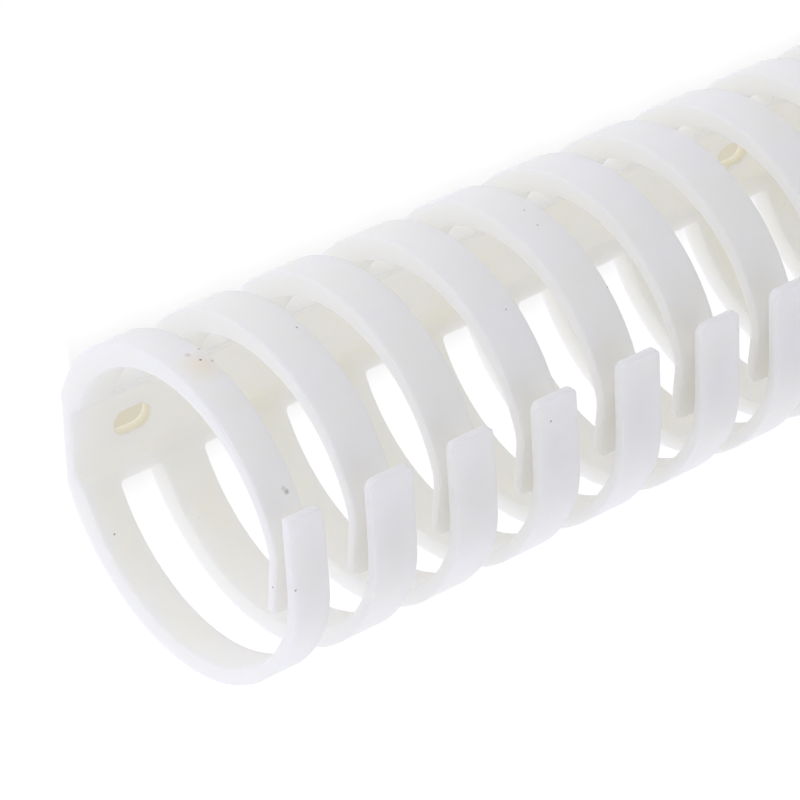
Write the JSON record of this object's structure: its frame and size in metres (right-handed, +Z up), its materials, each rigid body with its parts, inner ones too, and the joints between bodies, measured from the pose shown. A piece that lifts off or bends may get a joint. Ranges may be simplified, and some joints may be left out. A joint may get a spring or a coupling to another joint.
{
  "type": "flexible slotted cable trunking",
  "caption": "Straight length of white moulded trunking with a flat spine and two rows of curved fingers whose lips overlap, so cables push in and leave at any slot.",
  "frame": {"origin": "middle of the flat underside of the spine, half way along the length", "axes": "+X along the length, away from the end with the nearest fixing slot; +Y towards the row of fingers with the short inner lip; +Z up from the underside to the lips"},
  "size_m": [0.5, 0.04, 0.0432],
  "materials": {
    "white_polypropylene": "white moulded polypropylene with a soft satin sheen"
  },
  "bodies": {
    "root": {"trunking": "white_polypropylene"}
  },
  "joints": []
}
